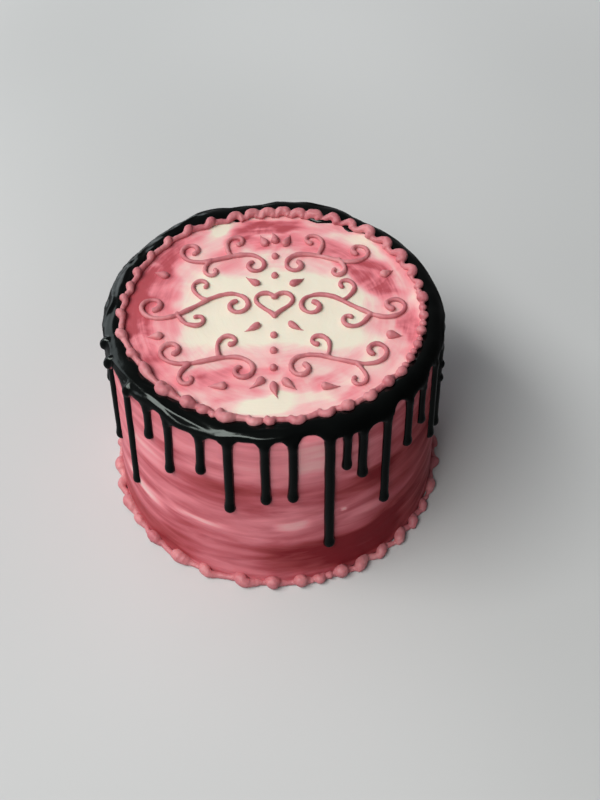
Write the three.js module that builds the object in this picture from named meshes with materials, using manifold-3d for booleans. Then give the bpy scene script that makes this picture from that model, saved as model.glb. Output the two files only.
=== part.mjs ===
// A round drip cake, whole and uncut: a tall frosted cake, a poured collar of dark glaze that runs
// down its side in drips, a piped bead border on the top and another round the foot, and piped
// scrolls, leaves and a heart on the top.
// Millimetres, +Z up, the origin at the middle of the underside and the front towards -Y.
// An angle round the cake is in degrees from the front and grows towards the right side.

import * as THREE from 'three';
import { mergeVertices } from 'three/addons/utils/BufferGeometryUtils.js';
import Module from 'manifold-3d';

// Driving dimensions
const CAKE_HEIGHT = 111;
const TOP_RADIUS = 81;
const BASE_RADIUS = 83.5;
const SHOULDER_RADIUS = 5;
const GAP = 0.3;
const GLAZE_THICKNESS = 1.9;
const GLAZE_INNER_RADIUS = 76;
const LIP_HANG = 9;
const DRIP_THICKNESS = 2.6;
const BACK_DRIP_PITCH = 10.7;
const BASE_BORDER_RADIUS = 84.9;
const LINE_RADIUS = 1.25;
const LEAF_RADIUS = 2.05;
const DOT_RADIUS = 1.9;

const FROSTING_COLOUR = '#d79a9c';
const GLAZE_COLOUR = '#0b0d0d';
const PIPING_COLOUR = '#c4707a';

const manifold = await Module();
manifold.setup();

// Small sums that the pieces share

function radians(degrees) {
  return degrees * Math.PI / 180;
}

function mix(a, b, share) {
  return a + (b - a) * share;
}

// A number from 0 to 1 that rises smoothly while x goes from low to high
function ramp(low, high, x) {
  return THREE.MathUtils.smoothstep(x, low, high);
}

function seededDraws(seed) {
  let state = seed;
  return () => {
    state = (state * 1664525 + 1013904223) % 4294967296;
    return state / 4294967296;
  };
}

// A smooth hump round one angle, 1 at its middle and almost 0 two spreads away
function hump(angle, middle, spread) {
  const away = ((angle - middle + 540) % 360 + 360) % 360 - 180;
  return Math.exp(-((away / spread) ** 2));
}

// An uneven line round the cake, between about -1 and 1, that meets itself after a full turn
function unevenness(angle, shift) {
  const a = radians(angle);
  const slow = Math.sin(3 * a + shift) + 0.7 * Math.sin(7 * a + 2.3 * shift);
  return (slow + 0.5 * Math.sin(13 * a + 4.1 * shift)) / 2.2;
}

function pointAt(radius, angle, height) {
  const a = radians(angle);
  return new THREE.Vector3(radius * Math.sin(a), -radius * Math.cos(a), height);
}

// Radius of the plain sloping side, without the rounded shoulder
function sideRadius(height) {
  return mix(BASE_RADIUS, TOP_RADIUS, height / CAKE_HEIGHT);
}

// A place on the cake's skin, by the distance down from where the flat top meets the shoulder
// (less than 0 is on the flat top), lifted off the skin by lift
function skinPlace(down, lift) {
  const bend = Math.min(Math.max(down / SHOULDER_RADIUS, 0), Math.PI / 2);
  const inward = Math.min(down, 0);
  const below = Math.max(down - SHOULDER_RADIUS * Math.PI / 2, 0);
  const reach = SHOULDER_RADIUS + lift;
  const height = CAKE_HEIGHT - SHOULDER_RADIUS + reach * Math.cos(bend) - below;
  const slope = sideRadius(height) - TOP_RADIUS;
  const radius = TOP_RADIUS - SHOULDER_RADIUS + inward + reach * Math.sin(bend);
  return { radius: radius + slope * Math.sin(bend), height };
}

// A closed body from rows of points. Each row goes once round the body. The rows close on
// themselves when loop is true, and end in flat caps otherwise.
function bodyFromRows(rows, loop) {
  const count = rows[0].length;
  const points = rows.flat();
  const faces = [];
  const strips = loop ? rows.length : rows.length - 1;
  for (let i = 0; i < strips; i += 1) {
    for (let j = 0; j < count; j += 1) {
      const next = (j + 1) % count;
      const a = i * count + j;
      const b = i * count + next;
      const c = ((i + 1) % rows.length) * count + next;
      const d = ((i + 1) % rows.length) * count + j;
      faces.push(a, b, c, a, c, d);
    }
  }
  if (!loop) {
    const last = (rows.length - 1) * count;
    for (let j = 1; j < count - 1; j += 1) {
      faces.push(0, j + 1, j);
      faces.push(last, last + j, last + j + 1);
    }
  }
  const shape = new THREE.BufferGeometry().setFromPoints(points);
  shape.setIndex(faces);
  return facingOut(shape);
}

// Turns every face of a closed body round if they point inwards
function facingOut(shape) {
  const at = shape.attributes.position;
  const index = shape.index.array;
  const corner = [new THREE.Vector3(), new THREE.Vector3(), new THREE.Vector3()];
  let volume = 0;
  for (let i = 0; i < index.length; i += 3) {
    corner.forEach((point, k) => point.fromBufferAttribute(at, index[i + k]));
    volume += corner[0].dot(corner[1].cross(corner[2]));
  }
  if (volume < 0) {
    shape.setIndex(Array.from(index).reverse());
  }
  return shape;
}

function toSolid(shape) {
  const bare = shape.clone();
  bare.deleteAttribute('normal');
  bare.deleteAttribute('uv');
  const merged = mergeVertices(bare, 1e-4);
  return new manifold.Manifold(new manifold.Mesh({
    numProp: 3,
    vertProperties: new Float32Array(merged.attributes.position.array),
    triVerts: new Uint32Array(merged.index.array),
  }));
}

function joined(shapes) {
  const solid = shapes.map(toSolid).reduce((whole, piece) => whole.add(piece));
  const mesh = solid.getMesh();
  const shape = new THREE.BufferGeometry();
  shape.setAttribute('position', new THREE.BufferAttribute(mesh.vertProperties, 3));
  shape.setIndex(new THREE.BufferAttribute(mesh.triVerts, 1));
  return shape;
}

// The frosted cake: one solid with a flat top, a rounded shoulder and a slightly flared side

const CAKE_SIDES = 66;
const SHOULDER_STEPS = 2;

function cakeBody() {
  const profile = [new THREE.Vector2(0, 0), new THREE.Vector2(BASE_RADIUS, 0)];
  for (let i = SHOULDER_STEPS; i >= 0; i -= 1) {
    const place = skinPlace(SHOULDER_RADIUS * Math.PI / 2 * i / SHOULDER_STEPS, 0);
    profile.push(new THREE.Vector2(place.radius, place.height));
  }
  profile.push(new THREE.Vector2(0, CAKE_HEIGHT));
  const turned = new THREE.LatheGeometry(profile, CAKE_SIDES);
  turned.rotateX(Math.PI / 2);
  turned.deleteAttribute('normal');
  turned.deleteAttribute('uv');
  return facingOut(mergeVertices(turned, 1e-4));
}

// Piped lines on the top: a round bead of frosting laid along a path, partly sunk in the top

const LINE_SIDES = 5;
const LIFT_BY_RADIUS = 0.7;
const MOST_LIFT = 0.85;

// path gives points in the plane of the top, and size(t) the bead's radius at t from 0 to 1
function pipedLine(path, size) {
  const rows = path.map((point, i) => {
    const before = path[Math.max(i - 1, 0)];
    const after = path[Math.min(i + 1, path.length - 1)];
    const along = new THREE.Vector2().subVectors(after, before).normalize();
    const radius = size(i / (path.length - 1));
    const middle = CAKE_HEIGHT + Math.min(LIFT_BY_RADIUS * radius, MOST_LIFT);
    const row = [];
    for (let k = 0; k < LINE_SIDES; k += 1) {
      const turn = 2 * Math.PI * (k + 0.25) / LINE_SIDES;
      const aside = radius * Math.cos(turn);
      const height = middle + radius * Math.sin(turn);
      row.push(new THREE.Vector3(point.x - along.y * aside, point.y + along.x * aside, height));
    }
    return row;
  });
  return bodyFromRows(rows, false);
}

// A line with a small blob at each end, where the piping bag starts and stops
const END_FACE = 0.8;
const BLOB_SWELL = 0.3;
const BLOB_SHARE = 0.12;

function blobbedEnds(t) {
  const fromEnd = Math.min(t, 1 - t);
  const swell = BLOB_SWELL * (1 - ramp(0, BLOB_SHARE, fromEnd));
  return LINE_RADIUS * (fromEnd === 0 ? END_FACE : 1 + swell);
}

// A curl starts straight and winds up: its direction turns by curl radians in all, as a power of
// the distance along it, so it tightens towards its end. It is summed in fine steps and keeps
// only some of their points, closer together where it is tight.
const CURL_POWER = 2.4;
const CURL_POINTS = 8;
const CURL_SPACING = 0.62;
const CURL_FINE_STEPS = 160;

function curlPath(length, curl) {
  const path = [new THREE.Vector2()];
  const place = new THREE.Vector2();
  for (let i = 1; i <= CURL_FINE_STEPS; i += 1) {
    const turn = curl * ((i - 0.5) / CURL_FINE_STEPS) ** CURL_POWER;
    place.x += length / CURL_FINE_STEPS * Math.cos(turn);
    place.y += length / CURL_FINE_STEPS * Math.sin(turn);
    if (i / CURL_FINE_STEPS >= (path.length / CURL_POINTS) ** CURL_SPACING - 1e-9) {
      path.push(place.clone());
    }
  }
  return path;
}

function turnedPath(path, x, y, degrees) {
  const middle = new THREE.Vector2();
  const shift = new THREE.Vector2(x, y);
  return path.map((point) => point.clone().rotateAround(middle, radians(degrees)).add(shift));
}

// A scroll is an S of two curls that meet in its middle and wind opposite ways; the line from end
// to end leans by tilt degrees
function scrollPath({ x, y, length, curl, tilt }) {
  const half = curlPath(length / 2, curl);
  const back = half.slice(1).map((point) => new THREE.Vector2(-point.x, -point.y)).reverse();
  const lean = half[half.length - 1].angle() / radians(1);
  return turnedPath([...back, ...half], x, y, tilt - lean);
}

function tendrilPath({ x, y, length, curl, tilt }) {
  return turnedPath(curlPath(length, curl), x, y, tilt);
}

// A leaf is a short bead that starts fat, bends a little and is drawn out to a point
const LEAF_BEND = 18;
const LEAF_START = 1.3;
const LEAF_POINT = 0.6;

function leafPath({ x, y, length, tilt }) {
  const path = [0, 0.3, 0.6, 1].map((t) => (
    new THREE.Vector2(length * t, 0).rotateAround(new THREE.Vector2(), radians(LEAF_BEND * t))
  ));
  return turnedPath(path, x, y, tilt);
}

function leafSize(t) {
  return t === 0 ? LEAF_START : mix(LEAF_RADIUS, LEAF_POINT, ramp(0.2, 1, t));
}

// The usual heart curve, which is 32 units wide, from just right of its notch all the way round
function heartPath({ x, y, width }) {
  const path = [];
  const steps = 16;
  for (let i = 0; i <= steps; i += 1) {
    const t = 2 * Math.PI * (i + 0.25) / (steps + 0.5);
    const across = 16 * Math.sin(t) ** 3;
    const up = 13 * Math.cos(t) - 5 * Math.cos(2 * t) - 2 * Math.cos(3 * t) - Math.cos(4 * t);
    path.push(new THREE.Vector2(x + across * width / 32, y + up * width / 32));
  }
  return path;
}

function pipedDot(x, y) {
  const shape = new THREE.SphereGeometry(DOT_RADIUS, 7, 4);
  shape.rotateX(Math.PI / 2);
  shape.translate(x, y, CAKE_HEIGHT + MOST_LIFT);
  return shape;
}

// The right half of the pattern: three rows of scrolls with tendrils, and leaves between them
const SCROLLS = [
  { x: 26.5, y: 37, length: 84, curl: 6.6, tilt: 10 },
  { x: 38.5, y: 3, length: 102, curl: 7.2, tilt: -9 },
  { x: 31, y: -33, length: 92, curl: 6.6, tilt: 12 },
];
const TENDRILS = [
  { x: 22, y: 38, length: 27, curl: 5.6, tilt: 70 },
  { x: 31, y: 36, length: 21, curl: -5.2, tilt: -55 },
  { x: 33, y: 6, length: 27, curl: 5.4, tilt: 40 },
  { x: 47, y: -2, length: 27, curl: -5.4, tilt: -120 },
  { x: 25, y: -31, length: 26, curl: 5.6, tilt: 75 },
  { x: 39, y: -35, length: 23, curl: -5.2, tilt: -50 },
];
const LEAVES = [
  { x: 4, y: 46, tilt: 50, length: 9 },
  { x: 52, y: 24, tilt: 10, length: 8 },
  { x: 7, y: 18, tilt: 20, length: 9 },
  { x: 7, y: -9, tilt: -50, length: 9 },
  { x: 53, y: -17, tilt: -20, length: 8 },
  { x: 4.5, y: -45, tilt: -60, length: 9 },
  { x: 22, y: -49, tilt: -20, length: 9 },
];
const MIDDLE_LEAVES = [
  { x: 0, y: 48, tilt: 85, length: 9 },
  { x: 0, y: -47, tilt: -95, length: 10 },
];
const HEART = { x: 0, y: 5, width: 18 };
const DOTS_AT = [38, 24, -17, -27, -38];

// How far each line may be off, as laid by hand
const HAND_SHIFT = 0.6;
const HAND_STRETCH = 0.03;
const HAND_TURN = 3;
const PATTERN_SEED = 21;

// The pattern is the right half, its mirror image, and what stands on the middle line
function pipedPattern() {
  const draw = seededDraws(PATTERN_SEED);
  const off = (most) => most * (2 * draw() - 1);
  const byHand = (line) => ({
    ...line,
    x: line.x + off(HAND_SHIFT),
    y: line.y + off(HAND_SHIFT),
    length: line.length * (1 + off(HAND_STRETCH)),
    tilt: line.tilt + off(HAND_TURN),
  });
  const pieces = [pipedLine(heartPath(HEART), blobbedEnds)];
  const lay = (lines, pathOf, size, mirror) => {
    for (const line of lines) {
      const path = pathOf(byHand(line));
      path.forEach((point) => point.setX(mirror * point.x));
      pieces.push(pipedLine(path, size));
    }
  };
  for (const mirror of [1, -1]) {
    lay(SCROLLS, scrollPath, blobbedEnds, mirror);
    lay(TENDRILS, tendrilPath, blobbedEnds, mirror);
    lay(LEAVES, leafPath, leafSize, mirror);
  }
  lay(MIDDLE_LEAVES, leafPath, leafSize, 1);
  for (const y of DOTS_AT) {
    pieces.push(pipedDot(0, y));
  }
  return pieces;
}

// The glaze: a poured collar over the edge of the top, with an uneven lower lip

const COLLAR_ROWS = CAKE_SIDES;
const COLLAR_OUTSIDE = [
  { along: 0, swell: 0.35 },
  { along: 0.05, swell: 0.8 },
  { along: 0.18, swell: 1 },
  { along: 0.42, swell: 1 },
  { along: 0.66, swell: 1 },
  { along: 0.88, swell: 1.15 },
  { along: 1, swell: 0.55 },
];
const COLLAR_INSIDE = [0.97, 0.7, 0.45, 0.02];
const COLLAR_START = GLAZE_INNER_RADIUS - (TOP_RADIUS - SHOULDER_RADIUS);

// How far down the skin the lip hangs: less at the front than at the sides and the back
const FRONT_LIP = { middle: 8, spread: 26, rise: 3.6 };
const LIP_WAVES = 0.9;

function lipDown(angle) {
  const rise = FRONT_LIP.rise * hump(angle, FRONT_LIP.middle, FRONT_LIP.spread);
  return LIP_HANG - rise + LIP_WAVES * unevenness(angle, 1.7);
}

// The glaze is thinner where it slumped, at the back corners, and swells where strands overlap
const SLUMPS = { middles: [-138, 138], spread: 28, depth: 0.5 };
const LUMPS = { middles: [-85, -75, 85], spread: 4, depth: 0.9 };
const THICKNESS_WAVES = 0.12;

function humps(angle, { middles, spread, depth }) {
  return depth * middles.reduce((sum, middle) => sum + hump(angle, middle, spread), 0);
}

function collarThickness(angle) {
  const waves = 1 + THICKNESS_WAVES * unevenness(angle, 0.4);
  return GLAZE_THICKNESS * waves - humps(angle, SLUMPS) + humps(angle, LUMPS);
}

function collar() {
  const rows = [];
  for (let i = 0; i < COLLAR_ROWS; i += 1) {
    const angle = 360 * i / COLLAR_ROWS;
    const thickness = collarThickness(angle);
    const downAt = (along) => mix(COLLAR_START, lipDown(angle), along);
    const outside = COLLAR_OUTSIDE.map(({ along, swell }) => (
      skinPlace(downAt(along), GAP + thickness * swell)
    ));
    const inside = COLLAR_INSIDE.map((along) => skinPlace(downAt(along), GAP));
    rows.push([...outside, ...inside].map(({ radius, height }) => pointAt(radius, angle, height)));
  }
  return bodyFromRows(rows, true);
}

// A drip: a funnel under the lip, a stem with a domed front, and a rounded, slightly fuller tip.
// The first row of points is inside the collar, so that the two join.
const DRIP_SIDES = [-90, -50, 0, 50, 90];

function drip({ angle, tip, width, lean = 0 }) {
  const lip = lipDown(angle);
  const end = lip + (skinPlace(lip, 0).height - tip);
  const rows = [
    { down: lip - 2.2, half: width / 2 + 3.2, thick: 1, lift: 0.6 },
    { down: lip + 0.4, half: width / 2 + 2.4, thick: 2, lift: 0 },
    { down: lip + 3, half: width / 2 + 0.5, thick: 2.2, lift: 0 },
    { down: lip + 8, half: 0.45 * width, thick: 2.2, lift: 0 },
    { down: end - 0.55 * width, half: 0.5 * width, thick: DRIP_THICKNESS, lift: 0 },
    { down: end - 0.12 * width, half: 0.38 * width, thick: 0.85 * DRIP_THICKNESS, lift: 0 },
    { down: end, half: 0.16 * width, thick: 0.4 * DRIP_THICKNESS, lift: 0 },
  ].map(({ down, half, thick, lift }) => {
    const row = [];
    for (const side of DRIP_SIDES) {
      const turn = radians(side);
      const place = skinPlace(down, GAP + lift + thick * Math.cos(turn) ** 0.7);
      const aside = half * Math.sin(turn) + lean * ramp(lip, end, down);
      row.push(pointAt(place.radius, angle + aside / radians(1) / place.radius, place.height));
    }
    return row;
  });
  return bodyFromRows(rows, false);
}

// The drips of the front half, left to right, and those of the back by a seeded rule
const FRONT_DRIPS = [
  { angle: -71, tip: 50, width: 5.3 },
  { angle: -57, tip: 37, width: 4.9, lean: 1.2 },
  { angle: -45.5, tip: 86, width: 5.1 },
  { angle: -36, tip: 70, width: 5.0 },
  { angle: -23.5, tip: 81, width: 5.1 },
  { angle: -14, tip: 58, width: 5.5 },
  { angle: -2.5, tip: 67, width: 5.3 },
  { angle: 6.5, tip: 68, width: 5.2 },
  { angle: 18, tip: 27, width: 6.0 },
  { angle: 24.5, tip: 83, width: 4.8 },
  { angle: 30.5, tip: 72, width: 5.5 },
  { angle: 39.5, tip: 43, width: 5.5 },
  { angle: 50.5, tip: 73, width: 5.1 },
  { angle: 59, tip: 78, width: 4.8 },
  { angle: 69.5, tip: 51, width: 5.1 },
];

const BACK_DRIP_SEED = 11;
const SHORTEST_TIP = 84;
const TIP_SPREAD = 22;
const LONG_DRIP_MORE = 34;

function backDrips() {
  const draw = seededDraws(BACK_DRIP_SEED);
  const first = FRONT_DRIPS[FRONT_DRIPS.length - 1].angle;
  const last = FRONT_DRIPS[0].angle + 360;
  const count = Math.round((last - first) / BACK_DRIP_PITCH) - 1;
  const drips = [];
  for (let i = 1; i <= count; i += 1) {
    const angle = mix(first, last, (i + 0.4 * (draw() - 0.5)) / (count + 1));
    const longer = i % 3 === 1 ? LONG_DRIP_MORE : 0;
    const tip = SHORTEST_TIP - longer - TIP_SPREAD * draw();
    drips.push({ angle, tip, width: mix(5, 6.2, draw()) });
  }
  return drips;
}

// Piped bead borders: each bead starts as a fat round head and is drawn out into a tail, which the
// next head covers. How the beads look changes slowly round the cake, by these stations:
// ring is the radius of the ring that the beads follow, pitch the step from bead to bead, head
// and tail their radii, and swing how far the heads stand outwards
const TOP_BEADS = [
  { angle: -180, ring: 68.2, pitch: 9, head: 2.9, tail: 1.6, swing: 0.7 },
  { angle: -140, ring: 70.2, pitch: 13, head: 2.7, tail: 1.4, swing: 1.0 },
  { angle: -85, ring: 71.6, pitch: 12, head: 2.7, tail: 1.4, swing: 0.9 },
  { angle: -45, ring: 71.4, pitch: 11, head: 3.5, tail: 1.8, swing: 0.6 },
  { angle: 0, ring: 71.2, pitch: 11, head: 3.4, tail: 1.7, swing: 0.8 },
  { angle: 50, ring: 72, pitch: 9.5, head: 3.3, tail: 1.9, swing: 0.5 },
  { angle: 85, ring: 71.4, pitch: 7, head: 2.9, tail: 1.8, swing: 0.2 },
  { angle: 130, ring: 71.6, pitch: 11.5, head: 2.9, tail: 1.5, swing: 1.1 },
  { angle: 180, ring: 68.2, pitch: 9, head: 2.9, tail: 1.6, swing: 0.7 },
];

const BASE_BEADS = [
  { angle: -180, ring: BASE_BORDER_RADIUS, pitch: 14, head: 3.3, tail: 1.9, swing: 0.5 },
  { angle: -60, ring: BASE_BORDER_RADIUS, pitch: 13.8, head: 3.2, tail: 1.9, swing: 0.5 },
  { angle: -15, ring: BASE_BORDER_RADIUS, pitch: 16.5, head: 3.5, tail: 2.0, swing: 0.6 },
  { angle: 25, ring: BASE_BORDER_RADIUS, pitch: 12, head: 3.4, tail: 2.0, swing: 0.5 },
  { angle: 90, ring: BASE_BORDER_RADIUS, pitch: 12, head: 3.3, tail: 2.0, swing: 0.4 },
  { angle: 180, ring: BASE_BORDER_RADIUS, pitch: 14, head: 3.3, tail: 1.9, swing: 0.5 },
];

function beadStyle(stations, angle) {
  const after = Math.max(stations.findIndex((station) => station.angle >= angle), 1);
  const [low, high] = [stations[after - 1], stations[after]];
  const share = (angle - low.angle) / (high.angle - low.angle);
  const style = {};
  for (const key of Object.keys(low)) {
    style[key] = mix(low[key], high[key], share);
  }
  return style;
}

// Where each bead starts, from -180 to 180, with hand-made steps that fill the ring exactly
function beadStarts(stations, seed) {
  const draw = seededDraws(seed);
  const starts = [-180];
  let angle = -180;
  while (angle < 180) {
    const { pitch, ring } = beadStyle(stations, angle);
    angle += pitch * (0.9 + 0.2 * draw()) / ring / radians(1);
    starts.push(Math.min(angle, 180));
  }
  const stretch = 360 / (starts[starts.length - 2] + 180);
  return starts.slice(0, -2).map((start) => -180 + (start + 180) * stretch);
}

// A bead's rows of points, by the share of its length: size goes from 0 in the tail to 1 in the
// head, and out is the share of the swing. Its underside is flat.
const BEAD_SIDES = 6;
const BEAD_MIDDLE = 0.8;
const BEAD_HEIGHT = 0.92;
const BEAD_ROWS = [
  { along: 0.01, size: 0.6, out: 0.7 },
  { along: 0.17, size: 1, out: 1 },
  { along: 0.42, size: 0.8, out: 0.6 },
  { along: 0.88, size: 0, out: -0.7 },
];

// floor is the height that the border lies on, and keep moves a point off what stands beside it
function beadBorder({ stations, floor, seed, keep }) {
  const starts = beadStarts(stations, seed);
  const draw = seededDraws(seed + 1);
  const rows = [];
  starts.forEach((start, i) => {
    const end = i + 1 < starts.length ? starts[i + 1] : 180;
    const wobble = 0.9 + 0.2 * draw();
    for (const { along, size, out } of BEAD_ROWS) {
      const angle = mix(start, end, along);
      const style = beadStyle(stations, angle);
      const radius = mix(style.tail, style.head * wobble, size);
      const row = [];
      for (let k = 0; k < BEAD_SIDES; k += 1) {
        const turn = 2 * Math.PI * k / BEAD_SIDES;
        const reach = style.ring + style.swing * out + radius * Math.cos(turn);
        const rise = radius * (BEAD_MIDDLE + BEAD_HEIGHT * Math.sin(turn));
        const height = floor + Math.max(rise, 0);
        row.push(pointAt(keep(reach, height), angle, height));
      }
      rows.push(row);
    }
  });
  return bodyFromRows(rows, true);
}

const topBorderShape = () => beadBorder({
  stations: TOP_BEADS,
  floor: CAKE_HEIGHT + GAP,
  seed: 5,
  keep: (reach) => Math.min(reach, GLAZE_INNER_RADIUS - GAP),
});

const baseBorderShape = () => beadBorder({
  stations: BASE_BEADS,
  floor: 0,
  seed: 8,
  keep: (reach, height) => Math.max(reach, sideRadius(height) + GAP),
});

// The whole cake

function piece(name, shape, colour, roughness) {
  const material = new THREE.MeshStandardMaterial({ color: colour, roughness, metalness: 0 });
  const mesh = new THREE.Mesh(shape, material);
  mesh.name = name;
  return mesh;
}

const glazeShapes = [collar(), ...[...FRONT_DRIPS, ...backDrips()].map(drip)];

const dripCake = new THREE.Group();
dripCake.add(piece('cake', joined([cakeBody(), ...pipedPattern()]), FROSTING_COLOUR, 0.6));
dripCake.add(piece('drip_glaze', joined(glazeShapes), GLAZE_COLOUR, 0.15));
dripCake.add(piece('top_border', topBorderShape(), PIPING_COLOUR, 0.6));
dripCake.add(piece('base_border', baseBorderShape(), PIPING_COLOUR, 0.6));

export default dripCake;
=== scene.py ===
"""A round drip cake: marbled frosting, a poured black glaze with drips, piped bead borders and
piped scrolls on the top, on a plain pale floor. Angles round the cake are in degrees from the
front and grow towards the right side. Bare lengths are in mm, and MM turns them into metres."""

import math

import bpy
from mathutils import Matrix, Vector, noise


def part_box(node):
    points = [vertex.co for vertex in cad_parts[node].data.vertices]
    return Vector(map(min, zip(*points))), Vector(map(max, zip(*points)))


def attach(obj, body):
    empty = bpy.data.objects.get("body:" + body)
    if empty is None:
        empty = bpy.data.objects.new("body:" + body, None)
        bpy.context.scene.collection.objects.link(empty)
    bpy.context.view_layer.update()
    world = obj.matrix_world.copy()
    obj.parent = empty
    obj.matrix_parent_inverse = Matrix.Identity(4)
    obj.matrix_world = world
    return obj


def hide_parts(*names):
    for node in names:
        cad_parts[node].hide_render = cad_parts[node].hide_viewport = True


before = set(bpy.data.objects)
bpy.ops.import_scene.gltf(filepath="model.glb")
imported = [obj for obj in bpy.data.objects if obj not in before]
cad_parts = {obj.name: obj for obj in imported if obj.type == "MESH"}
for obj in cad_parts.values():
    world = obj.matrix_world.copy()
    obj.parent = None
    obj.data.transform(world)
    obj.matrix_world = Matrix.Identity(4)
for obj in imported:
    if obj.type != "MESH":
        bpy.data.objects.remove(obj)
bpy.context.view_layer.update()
bpy.ops.object.select_all(action="DESELECT")

# The camera stands in front of the cake and a little to its right, and looks steeply down on it
# through a slightly long lens.
MM = 0.001
bpy.ops.object.camera_add(
    location=(12.4 * MM, -446.0 * MM, 558.2 * MM), rotation=(math.radians(41), 0, 0)
)
camera = bpy.context.object
camera.name = "camera"
camera.rotation_euler.rotate_axis("Z", math.radians(-0.13))
camera.data.lens = 58.5
camera.data.sensor_width = 36
camera.data.clip_start = 0.01
bpy.context.scene.camera = camera

# The frosted cake: sponge and filling, hidden under a coat of buttercream. The coat is drawn
# smooth with a scraper while the cake turns, which leaves long level streaks round its side,
# and its top is wiped with a palette knife. Rose frosting was smeared into the cream one.
TOP_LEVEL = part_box("top_border")[0].z - 0.3 * MM
FOOT_RADIUS = 83.5 * MM
TOP_RADIUS = 81 * MM
SHOULDER_RADIUS = 5 * MM
SHOULDER_ROWS = 7
CAKE_COLUMNS = 384
SIDE_ROWS = 84
TOP_RING_STEP = 1.6 * MM

CREAM = (0.85, 0.79, 0.65, 1)
BLUSH = (0.87, 0.55, 0.53, 1)
PALE_PINK = (0.86, 0.39, 0.41, 1)
PINK = (0.82, 0.26, 0.30, 1)
DUSTY_PINK = (0.67, 0.185, 0.22, 1)
ROSE = (0.51, 0.10, 0.125, 1)
BRICK = (0.39, 0.06, 0.07, 1)
WINE = (0.24, 0.014, 0.022, 1)

# Smears of rose on the top, in mm: middle x, y, half length, half width, direction in degrees,
# and strength, which is less than 0 where cream lies over the rose
TOP_SMEARS = [
    (2, -8, 50, 17, 0, -0.24), (0, 14, 44, 15, 3, -0.22), (-24, 62, 14, 5, 24, -0.24),
    (-4, -59, 14, 6, -6, -0.22), (46, 44, 12, 5, 135, -0.14), (61, 3, 9, 5, 75, -0.16),
    (48, -33, 12, 8, 60, -0.10), (12, 53, 9, 4, 30, -0.10),
    (20, -56, 12, 4, 20, -0.10), (-62, 50, 8, 6, 50, -0.06),
    (-67, 14, 34, 9, 90, 0.36), (-57, 30, 22, 9, 66, 0.22), (-57, 14, 18, 8, 84, 0.22),
    (-65, -17, 22, 9, 102, 0.40), (-50, 38, 12, 7, 56, 0.22), (-56, -36, 16, 8, 128, 0.16),
    (-52, -14, 18, 7, 100, 0.20),
    (-32, -46, 18, 5, 4, 0.20), (-38, -41, 9, 3, -14, 0.16), (-18, -52, 12, 3, 6, 0.16),
    (8, -45, 8, 5, 64, 0.16), (25, -43, 10, 5, 34, 0.22), (38, -52, 9, 4, 42, 0.20),
    (-8, -40, 14, 3, 8, 0.14), (64, -14, 17, 6, 98, 0.40), (56, -24, 10, 5, 78, 0.16),
    (50, 23, 15, 8, 124, 0.58), (36, 38, 12, 5, 142, 0.24), (56, 13, 12, 6, 116, 0.28),
    (66, 26, 20, 4, 110, 0.14),
    (54, 46, 16, 4, 136, 0.14), (38, 57, 13, 3, 158, 0.14), (-5, 61, 15, 5, 2, 0.50),
    (-14, 55, 13, 5, 42, 0.32), (14, 60, 16, 4, -12, 0.20), (-2, 49, 21, 5, 7, 0.36),
    (22, 44, 12, 5, 20, 0.18), (28, 56, 11, 5, 160, -0.12), (49, -6, 12, 7, 75, 0.12),
    (-24, 42, 8, 7, 60, 0.18), (-44, 56, 12, 5, 44, 0.16),
]

# Smears on the side: middle angle and height, half length in degrees, half width and strength. The
# broad one at 58 degrees, which spans the whole height of the right side, is painted shade that
# darkens the side turned away from the window light
SIDE_SMEARS_AND_PAINTED_SHADE = [
    (2, 67, 46, 8, 0.15), (-45, 95, 26, 12, 0.05), (-4, 93, 70, 14, -0.11),
    (12, 95, 7, 12, -0.18), (-49, 71, 10, 6, -0.28), (-24, 63, 15, 5, 0.06),
    (6, 46, 6, 3.4, -0.30), (-27, 41, 10, 1.8, -0.28), (30, 66, 12, 8, 0.08),
    (-54, 38, 11, 4, -0.38), (-30, 27, 44, 9, 0.04), (12, 20, 17, 12, 0.36), (33, 17, 15, 14, 0.35),
    (-54, 13, 26, 9, 0.24), (-78, 62, 18, 16, -0.12), (-66, 94, 12, 12, -0.10),
    (3, 61, 6, 1.8, -0.16), (24, 53, 1.1, 1.3, -0.45), (34, 46, 8, 4, -0.10),
    # The first row here is painted shade, not a smear: it darkens the right side over its whole
    # height
    (58, 50, 27, 60, 0.25), (78, 66, 22, 10, 0.08),
    (-16, 84, 6, 5, 0.07), (-36, 84, 7, 5, 0.08), (36, 86, 10, 5, 0.08),
    (95, 38, 24, 9, -0.12), (120, 84, 30, 9, -0.12), (140, 56, 34, 8, 0.14),
    (165, 26, 30, 10, 0.24), (180, 74, 26, 6, -0.18), (205, 44, 24, 6, -0.16),
    (225, 88, 34, 8, 0.10), (240, 24, 28, 9, 0.14), (262, 52, 22, 7, 0.12),
    (150, 40, 12, 2, -0.24), (215, 62, 9, 2, -0.26),
]
TOP_BASE = 0.21
SIDE_BASE = 0.60

# From this radius on, the top's smears go over into the side's
BLEND_START = 76
BLEND_WIDTH = 4

# The ring round which strokes and ripples are laid
STROKE_RING = 81

# Fixes the drift of the smears and the shake of the piped lines, which else change each time
noise.seed_set(3)


def only(piece):
    """Selects one piece and nothing else"""
    bpy.ops.object.select_all(action="DESELECT")
    piece.select_set(True)
    bpy.context.view_layer.objects.active = piece


def apply_modifier(piece, kind, **settings):
    """Adds a modifier, sets it and applies it"""
    only(piece)
    bpy.ops.object.modifier_add(type=kind)
    modifier = piece.modifiers[-1]
    for name, value in settings.items():
        setattr(modifier, name, value)
    bpy.ops.object.modifier_apply(modifier=modifier.name)


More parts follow.
